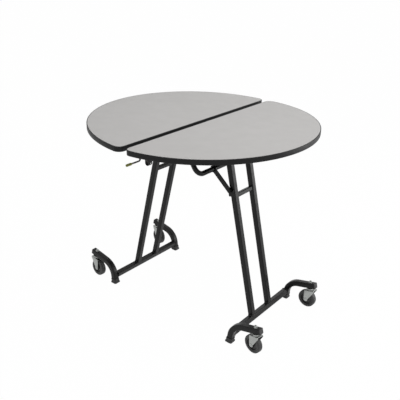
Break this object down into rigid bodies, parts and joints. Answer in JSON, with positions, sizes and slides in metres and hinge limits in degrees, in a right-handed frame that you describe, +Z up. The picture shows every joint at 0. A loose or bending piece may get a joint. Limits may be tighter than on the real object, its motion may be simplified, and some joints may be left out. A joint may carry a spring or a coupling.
{
  "type": "room service table",
  "caption": "Folding round room service table: half-round tops fold up about a centre spine, on splayed leg frames with braces, rubber feet and casters.",
  "frame": {"origin": "on the floor under the centre of the open table", "axes": "+X across the split towards the right half, +Y along the split away from the release lever, +Z up"},
  "size_m": [0.9163, 0.8722, 0.7701],
  "materials": {
    "laminate": "satin, very fine texture",
    "board": "sealed particle board",
    "edge_band": "satin",
    "frame_paint": "semi-gloss powder coat",
    "bright_zinc": "bright zinc plate",
    "lever_steel": "dull plated rod",
    "boot_rubber": "matte",
    "cap_plastic": "matte",
    "grip_plastic": "soft matte",
    "tyre_rubber": "matte",
    "hub_plastic": "moulded"
  },
  "bodies": {
    "centre_frame": {"centre_spine": "frame_paint", "hinge_yokes": "frame_paint", "fold_pins": "bright_zinc", "lever_bracket": "frame_paint", "lever_pin": "bright_zinc"},
    "lever": {"release_lever": "lever_steel", "lever_grip": "grip_plastic"},
    "latch": {"latch_rod": "bright_zinc"},
    "right_half_top": {"right_top_board": "board", "right_top_laminate": "laminate", "right_edge_band": "edge_band", "right_channels": "frame_paint", "right_brace_clips": "frame_paint", "right_pivot_pins": "bright_zinc", "right_frame_screws": "bright_zinc"},
    "right_leg_frame": {"right_legs": "frame_paint", "right_rung": "frame_paint", "right_foot_tube": "frame_paint", "right_foot_arms": "frame_paint", "right_arm_caps": "cap_plastic", "right_boots": "boot_rubber", "right_link_lug": "frame_paint", "right_caster_stems": "bright_zinc", "right_caster_nuts": "bright_zinc"},
    "right_brace": {"right_brace_bar": "frame_paint"},
    "right_link": {"right_brace_link": "frame_paint"},
    "left_half_top": {"left_top_board": "board", "left_top_laminate": "laminate", "left_edge_band": "edge_band", "left_channels": "frame_paint", "left_brace_clips": "frame_paint", "left_pivot_pins": "bright_zinc", "left_frame_screws": "bright_zinc"},
    "left_leg_frame": {"left_legs": "frame_paint", "left_rung": "frame_paint", "left_foot_tube": "frame_paint", "left_foot_arms": "frame_paint", "left_arm_caps": "cap_plastic", "left_boots": "boot_rubber", "left_link_lug": "frame_paint", "left_caster_stems": "bright_zinc", "left_caster_nuts": "bright_zinc"},
    "left_brace": {"left_brace_bar": "frame_paint"},
    "left_link": {"left_brace_link": "frame_paint"},
    "near_right_caster": {"near_right_fork": "bright_zinc", "near_right_axle": "bright_zinc"},
    "near_right_wheel": {"near_right_tyre": "tyre_rubber", "near_right_hub": "hub_plastic"},
    "far_right_caster": {"far_right_fork": "bright_zinc", "far_right_axle": "bright_zinc"},
    "far_right_wheel": {"far_right_tyre": "tyre_rubber", "far_right_hub": "hub_plastic"},
    "near_left_caster": {"near_left_fork": "bright_zinc", "near_left_axle": "bright_zinc"},
    "near_left_wheel": {"near_left_tyre": "tyre_rubber", "near_left_hub": "hub_plastic"},
    "far_left_caster": {"far_left_fork": "bright_zinc", "far_left_axle": "bright_zinc"},
    "far_left_wheel": {"far_left_tyre": "tyre_rubber", "far_left_hub": "hub_plastic"}
  },
  "joints": [
    {"name": "right_fold", "type": "hinge", "parent": "centre_frame", "child": "right_half_top", "pos_m": [0.042, 0, 0.737], "axis": [0, -1, 0], "range_deg": [0, 88.93]},
    {"name": "right_leg_fold", "type": "hinge", "parent": "right_half_top", "child": "right_leg_frame", "pos_m": [0.16276, 0, 0.706], "axis": [0, -1, 0], "range_deg": [-102.59, 0.5]},
    {"name": "right_brace_turn", "type": "hinge", "parent": "right_half_top", "child": "right_brace", "pos_m": [0.03825, 0, 0.72931], "axis": [0, -1, 0], "range_deg": [-122.95, 0.5]},
    {"name": "right_link_turn", "type": "hinge", "parent": "right_brace", "child": "right_link", "pos_m": [0.113, 0, 0.616], "axis": [0, -1, 0], "range_deg": [-0.5, 155.7]},
    {"name": "left_fold", "type": "hinge", "parent": "centre_frame", "child": "left_half_top", "pos_m": [-0.042, 0, 0.737], "axis": [0, 1, 0], "range_deg": [0, 88.93]},
    {"name": "left_leg_fold", "type": "hinge", "parent": "left_half_top", "child": "left_leg_frame", "pos_m": [-0.16276, 0, 0.706], "axis": [0, 1, 0], "range_deg": [-102.59, 0.5]},
    {"name": "left_brace_turn", "type": "hinge", "parent": "left_half_top", "child": "left_brace", "pos_m": [-0.03825, 0, 0.72931], "axis": [0, 1, 0], "range_deg": [-122.95, 0.5]},
    {"name": "left_link_turn", "type": "hinge", "parent": "left_brace", "child": "left_link", "pos_m": [-0.113, 0, 0.616], "axis": [0, 1, 0], "range_deg": [-0.5, 155.7]},
    {"name": "near_right_swivel", "type": "hinge", "parent": "right_leg_frame", "child": "near_right_caster", "pos_m": [0.42965, -0.2007, 0.10419], "axis": [-0.226, 0, 0.9741], "continuous": true},
    {"name": "near_right_roll", "type": "hinge", "parent": "near_right_caster", "child": "near_right_wheel", "pos_m": [0.41968, -0.19636, 0.03823], "axis": [-0.1692, -0.9848, -0.0392], "continuous": true},
    {"name": "far_right_swivel", "type": "hinge", "parent": "right_leg_frame", "child": "far_right_caster", "pos_m": [0.42965, 0.2007, 0.10419], "axis": [-0.226, 0, 0.9741], "continuous": true},
    {"name": "far_right_roll", "type": "hinge", "parent": "far_right_caster", "child": "far_right_wheel", "pos_m": [0.41931, 0.20114, 0.03814], "axis": [-0.017, -0.9998, -0.0039], "continuous": true},
    {"name": "near_left_swivel", "type": "hinge", "parent": "left_leg_frame", "child": "near_left_caster", "pos_m": [-0.42965, -0.2007, 0.10419], "axis": [0.226, 0, 0.9741], "continuous": true},
    {"name": "near_left_roll", "type": "hinge", "parent": "near_left_caster", "child": "near_left_wheel", "pos_m": [-0.4194, -0.20288, 0.03816], "axis": [0.0849, 0.9962, -0.0197], "continuous": true},
    {"name": "far_left_swivel", "type": "hinge", "parent": "left_leg_frame", "child": "far_left_caster", "pos_m": [-0.42965, 0.2007, 0.10419], "axis": [0.226, 0, 0.9741], "continuous": true},
    {"name": "far_left_roll", "type": "hinge", "parent": "far_left_caster", "child": "far_left_wheel", "pos_m": [-0.41994, 0.19508, 0.03828], "axis": [0.2191, 0.9744, -0.0508], "continuous": true},
    {"name": "lever_pull", "type": "hinge", "parent": "centre_frame", "child": "lever", "pos_m": [0, -0.307, 0.676], "axis": [-1, 0, 0], "range_deg": [0, 8], "stiffness_Nm_per_rad": 0.5, "springref_deg": -5.73},
    {"name": "latch_slide", "type": "slide", "parent": "centre_frame", "child": "latch", "axis": [0, 1, 0], "range_m": [-0.0001, 0.003]}
  ],
  "couplings": [
    {"joint": "right_leg_fold", "follows": "right_fold", "ratio": -1.1469},
    {"joint": "right_brace_turn", "follows": "right_fold", "ratio": -1.3757},
    {"joint": "right_link_turn", "follows": "right_fold", "ratio": 1.7441},
    {"joint": "left_leg_fold", "follows": "left_fold", "ratio": -1.1469},
    {"joint": "left_brace_turn", "follows": "left_fold", "ratio": -1.3757},
    {"joint": "left_link_turn", "follows": "left_fold", "ratio": 1.7441},
    {"joint": "latch_slide", "follows": "lever_pull", "m_per_rad": 0.017}
  ]
}
